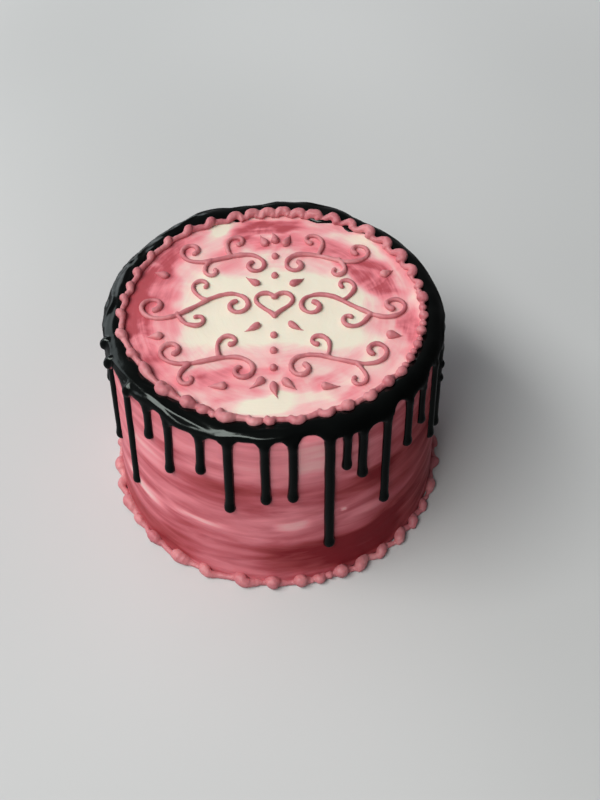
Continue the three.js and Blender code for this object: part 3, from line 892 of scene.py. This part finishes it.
BLACK = (0.0004, 0.0005, 0.0005, 1)
SOFT_BLACK = (0.0012, 0.0015, 0.0014, 1)
black = Finish(
    "black_glaze", IOR=1.4, Specular_IOR_Level=0.42, Specular_Tint=(0.88, 1, 0.95, 1),
)
black_flow = black.noise((70, 70, 40), detail=3)
black_colour = black.colours(black_flow, (0.35, BLACK), (0.75, SOFT_BLACK))
black.feed(black.shader.inputs["Base Color"], black_colour)
black.feed(black.shader.inputs["Roughness"], black.span(black_flow, 0.1, 0.24))
ripples = black.noise((75, 75, 430), detail=1, place=black.attribute("flow_place", "Vector"))
ripples = black.combine("MULTIPLY", ripples, black.attribute("rippled"))
dimples = black.combine("MULTIPLY", black.noise((110, 110, 90), detail=2), 0.15)
black.bump(black.combine("ADD", ripples, dimples), 0.45 * MM)
glaze.data.materials.append(black.material)
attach(glaze, "root")
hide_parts("drip_glaze")

# The top border: beads of rose buttercream piped one after another from a round nozzle. Each
# starts as a fat head and is drawn into a tail that the next head covers. The hand was unsteady:
# knuckles on a thin rope at the left, knobs and commas in front, tight balls at the right.
ROPE_RADIUS = 1.5
NOZZLE_SHAKE = 0.3

# How the nozzle moves for each kind of bead: along the ring, outwards, and the radius it lays
STROKES = {
    "knuckle": [
        (-1.5, 0.5, 1.5), (-0.5, 0.9, 2.2), (0.9, 0.5, 2.5), (2.4, -0.2, 2.1), (4.2, -0.4, 1.6),
    ],
    "long": [
        (-4.6, -0.5, 1.7), (-2.4, -0.5, 2.2), (0, 0, 2.45), (2.4, 0.4, 2.3), (4.6, 0.2, 1.8),
    ],
    "knob": [
        (-1.9, -0.7, 1.9), (-0.9, 0.1, 2.8), (0.4, 0.4, 2.95), (1.8, 0, 2.3), (3.2, -0.2, 1.8),
    ],
    "fold": [
        (-0.6, -1.5, 1.5), (-1.9, -0.4, 2.1), (-1.0, 1.2, 2.4), (0.9, 0.9, 2.5),
        (2.2, -0.5, 2.1), (3.7, -0.4, 1.8),
    ],
    "comma": [
        (-3.2, -2.2, 1.5), (-3.0, -0.8, 1.9), (-1.8, 0.8, 2.2), (0.2, 1.3, 2.3),
        (2.0, 0.5, 2.1), (3.6, -0.6, 1.7), (5.2, -0.8, 1.5),
    ],
    "lobe": [
        (-1.2, -1.8, 1.5), (-1.0, -0.2, 2.0), (-0.2, 0.9, 2.2), (0.9, 0.3, 2.0), (1.8, -1.2, 1.6),
    ],
    "shell": [
        (-3.6, 0.6, 1.6), (-2.6, 0.4, 2.5), (-0.8, 0.3, 3.1), (1.2, 0.2, 2.9),
        (3.4, -0.2, 2.3), (5.4, -0.6, 1.8), (7, -0.6, 1.6),
    ],
    "lean": [
        (-2.6, 1.7, 1.5), (-1.5, 1.2, 2.2), (-0.2, 0.3, 2.6), (1.2, -0.7, 2.5),
        (2.4, -1.5, 1.9), (4.4, -0.7, 1.5), (6.4, 0.1, 1.4),
    ],
    "rise": [
        (-3.2, -1.4, 1.7), (-2.0, -0.9, 2.4), (-0.6, 0.2, 2.7), (0.8, 1.2, 2.3),
        (2.6, 0.9, 1.8), (4.8, 0.1, 1.6), (6.6, -0.4, 1.5),
    ],
    "block": [
        (-2.5, -1.3, 1.7), (-2.8, -0.2, 2.2), (-1.7, 0.5, 2.5), (0, 0.6, 2.6),
        (1.7, 0.1, 2.4), (2.8, -0.9, 2.0), (3.4, -1.6, 1.5),
    ],
    "ball": [(-1.5, 0, 1.0), (-0.4, 0.2, 2.6), (0.5, 0.1, 2.6), (1.7, 0, 1.1)],
    "arch": [
        (-3.0, -1.4, 1.9), (-3.0, -0.2, 2.3), (-2.0, 1.0, 2.4), (-0.3, 1.3, 2.2),
        (1.4, 0.6, 1.9), (3.2, -0.6, 1.5), (4.8, -1.2, 1.3),
    ],
}

# Angle, ring radius, size and kind of each bead, round the whole ring
TOP_BEADS = [
    (-176.5, 69.8, 0.98, "block"), (-170, 69.9, 0.92, "block"), (-162.5, 69.6, 0.95, "comma"),
    (-152.5, 70.2, 0.98, "knuckle"), (-142.5, 71.4, 0.98, "knuckle"), (-132, 72.0, 0.93, "knuckle"),
    (-121.5, 72.2, 0.88, "knuckle"), (-111, 72.2, 0.9, "knuckle"), (-102.7, 72.2, 0.9, "knuckle"),
    (-96, 73.0, 0.85, "knuckle"), (-87.7, 73.6, 0.95, "knuckle"), (-77, 74.0, 1.05, "knuckle"),
    (-66.5, 72.5, 0.95, "knuckle"), (-56, 71.8, 1.0, "long"), (-43.5, 72.1, 1.15, "fold"),
    (-32.5, 71.6, 1.1, "knob"), (-26, 71.2, 0.85, "fold"), (-21.8, 72.6, 0.65, "ball"),
    (-17, 71.5, 1.1, "comma"), (-6.5, 71.4, 0.9, "comma"), (-0.9, 71.2, 0.95, "lobe"),
    (9.3, 71.2, 0.95, "comma"), (20.5, 70.3, 0.9, "comma"),
    (28.5, 71.2, 0.95, "knob"), (38.5, 71.4, 0.9, "fold"), (48, 71.4, 0.95, "knob"),
    (54.8, 72.4, 0.85, "knob"), (58.8, 71.8, 0.6, "ball"), (62.7, 71.8, 0.85, "ball"),
    (66.3, 71.8, 0.6, "ball"), (70, 72.0, 0.85, "ball"), (73.3, 71.8, 0.6, "ball"),
    (77.2, 71.8, 1.0, "ball"), (81.4, 72.0, 0.7, "ball"), (85.4, 72.0, 0.95, "ball"),
    (90, 71.7, 0.7, "ball"), (94.7, 72.2, 1.1, "ball"), (99, 71.6, 0.65, "ball"),
    (103.9, 72.4, 0.8, "arch"), (111.9, 72.4, 1.0, "arch"), (121.2, 72.5, 1.1, "arch"),
    (130.8, 72.3, 1.05, "arch"), (140.4, 72.0, 1.15, "arch"), (148.6, 72.0, 0.9, "arch"),
    (156.3, 71.3, 1.0, "arch"), (163.8, 70.6, 0.98, "block"), (170.4, 70.1, 0.92, "block"),
    (177, 70.2, 0.92, "block"),
]


def smooth_path(points, steps=6):
    """A soft curve through points that hold along, out and radius"""
    path = []
    ends = [points[0], *points, points[-1]]
    for a, b, c, d in zip(ends, ends[1:], ends[2:], ends[3:]):
        for i in range(steps):
            t = i / steps
            path.append([
                q + t * (r - p) / 2 + t * t * (p - 2.5 * q + 2 * r - s / 2)
                + t * t * t * (1.5 * q - p / 2 - 1.5 * r + s / 2)
                for p, q, r, s in zip(a, b, c, d)
            ])
    return path + [list(points[-1])]


def bead_lines(beads, floor, seed):
    """The nozzle's way for every bead, with its tail drawn on to the start of the next one as a
    rope, which is thinnest at the right"""
    draw = draws(seed)
    lines = []
    for (angle, ring, size, kind), following in zip(beads, beads[1:] + beads[:1]):
        stroke = [[size * value for value in point] for point in STROKES[kind]]
        for point in stroke:
            point[0] += NOZZLE_SHAKE * (next(draw) - 0.5)
            point[1] += NOZZLE_SHAKE * (next(draw) - 0.5)
            point[2] *= 0.94 + 0.12 * next(draw)
        gap = math.radians(away(following[0], angle)) * ring
        next_start = STROKES[following[3]][0]
        onward = gap + following[2] * next_start[0]
        out = following[1] - ring + 0.5 * following[2] * next_start[1]
        rope = ROPE_RADIUS * (0.9 + 0.2 * next(draw)) - 0.45 * hump(angle, 77, 30)
        if onward > stroke[-1][0] + 2.5:
            stroke.append([mix(stroke[-1][0], onward, 0.5), mix(stroke[-1][1], out, 0.6), rope])
        if onward > stroke[-1][0] + 0.8:
            stroke.append([onward + 0.6, out, rope])
        before = [stroke[0][0] - 0.35 * size, stroke[0][1] - 0.35 * size, 0.5 * stroke[0][2]]
        line = []
        for along, out, radius in smooth_path([before] + stroke):
            place = angle + math.degrees(along / ring)
            over = 0.4 * size * (1 - ramp(1.5, 3.5, abs(along)))
            line.append((point_at(ring + out, place, floor + 0.8 * radius + over), radius))
        lines.append(line)
    return lines


top_border = tubes("top_bead_border", bead_lines(TOP_BEADS, TOP_LEVEL / MM, 5))
fused(top_border, grain=0.4 * MM, rounds=2)
displace(top_border, "handmade_top", size=2.2 * MM, depth=0.5 * MM)
top_border.data.materials.append(piping.material)
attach(top_border, "root")
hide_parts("top_border")

# The base border: larger beads of the same buttercream round the foot, which hide the joint
# between the cake and what it stands on. They touch the floor and the foot of the side.
BASE_RING = 84.9

# Angle, size and kind of each bead that is seen; the others follow by seeded draws
BASE_BEADS = [
    (angle, BASE_RING, size, kind) for angle, size, kind in (
        (-66, 1.1, "shell"), (-57.6, 0.85, "shell"), (-48, 1.0, "shell"), (-35.3, 1.1, "shell"),
        (-24.5, 1.1, "rise"), (-11.3, 1.3, "rise"), (-1, 1.15, "knob"), (8.7, 1.15, "knob"),
        (12.6, 0.65, "ball"), (15.3, 1.05, "lobe"), (18.8, 0.8, "ball"), (23, 1.15, "knob"),
        (31, 1.25, "lean"), (39.7, 1.05, "lean"), (48.6, 1.2, "lean"), (57, 1.1, "lean"),
        (65, 0.95, "lean"),
    )
]
UNSEEN_KINDS = ("shell", "knob", "rise", "lean")
UNSEEN_END = 276
unseen = draws(8)
while BASE_BEADS[-1][0] < UNSEEN_END:
    step = 8.4 + 2.6 * next(unseen)
    kind = UNSEEN_KINDS[int(4 * next(unseen))]
    BASE_BEADS.append((BASE_BEADS[-1][0] + step, BASE_RING, 0.95 + 0.18 * next(unseen), kind))

base_border = tubes("base_bead_border", bead_lines(BASE_BEADS, 0, 8))
fused(base_border, grain=0.48 * MM, rounds=2)
displace(base_border, "handmade_base", size=2.4 * MM, depth=0.55 * MM)
for vertex in base_border.data.vertices:
    vertex.co.z = max(vertex.co.z, 0)
base_border.data.materials.append(piping.material)
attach(base_border, "root")
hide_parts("base_border")

# The floor and the light: a plain pale studio floor that stays out of the gloss on the glaze,
# with painted light that makes it lighter towards the back, where the lamps light it less, a long
# soft window light from the front left, a broad weak one low at the back left, and a dim room that
# is darker to the right.
FLOOR_NEAR = (0.565, 0.58, 0.58, 1)
FLOOR_FAR_PAINTED_LIGHT = (0.72, 0.735, 0.735, 1)
ROOM_COLOUR = (0.95, 0.97, 1.0, 1)
ROOM_LEFT = 0.25
ROOM_RIGHT = 0.03
bpy.ops.mesh.primitive_plane_add(size=6, location=(0, 0, -0.1 * MM))
floor = bpy.context.object
floor.name = "floor"
paper = Finish("pale_floor", Roughness=0.9, Specular_IOR_Level=0.1)
across_floor = paper.nodes.new("ShaderNodeSeparateXYZ")
paper.feed(across_floor.inputs[0], paper.place)
cloudy = paper.noise((2, 2, 2), detail=1)
# Painted light: the floor's colour grows lighter towards the back, where the lamps light it less,
# and soft clouds vary it
painted_back_light_and_clouds = paper.combine("MULTIPLY_ADD", across_floor.outputs["Y"], 0.5, cloudy)
floor_colour = paper.colours(painted_back_light_and_clouds, (0.4, FLOOR_NEAR), (1, FLOOR_FAR_PAINTED_LIGHT))
paper.feed(paper.shader.inputs["Base Color"], floor_colour)
floor.data.materials.append(paper.material)
floor.visible_glossy = False

CAKE_MIDDLE = Vector((0, 0, 80 * MM))


def soft_light(name, place, width, height, energy, colour):
    """A lit rectangle, placed and measured in metres, that faces the middle of the cake"""
    bpy.ops.object.light_add(type="AREA", location=place)
    light = bpy.context.object
    light.name = name
    light.data.shape = "RECTANGLE"
    light.data.size = width
    light.data.size_y = height
    light.data.energy = energy
    light.data.color = colour
    light.rotation_euler = (CAKE_MIDDLE - light.location).to_track_quat("-Z", "Y").to_euler()


soft_light("window_light", (-1.15, -0.81, 2.02), 2.6, 0.8, 65, (1, 0.985, 0.965))
soft_light("sky_light", (-1.6, 1.5, 0.72), 3.2, 1.4, 22, (0.9, 0.96, 1))

world = bpy.data.worlds.new("pale_room")
world.use_nodes = True
room = world.node_tree.nodes
side_to_side = room.new("ShaderNodeSeparateXYZ")
room_direction = room.new("ShaderNodeTexCoord")
room_light = room.new("ShaderNodeMapRange")
room_light.inputs["From Min"].default_value = -1
room_light.inputs["From Max"].default_value = 1
room_light.inputs["To Min"].default_value = ROOM_LEFT
room_light.inputs["To Max"].default_value = ROOM_RIGHT
world.node_tree.links.new(room_direction.outputs["Generated"], side_to_side.inputs[0])
world.node_tree.links.new(side_to_side.outputs["X"], room_light.inputs["Value"])
world.node_tree.links.new(room_light.outputs["Result"], room["Background"].inputs["Strength"])
room["Background"].inputs["Color"].default_value = ROOM_COLOUR
bpy.context.scene.world = world
bpy.context.scene.view_settings.view_transform = "Standard"
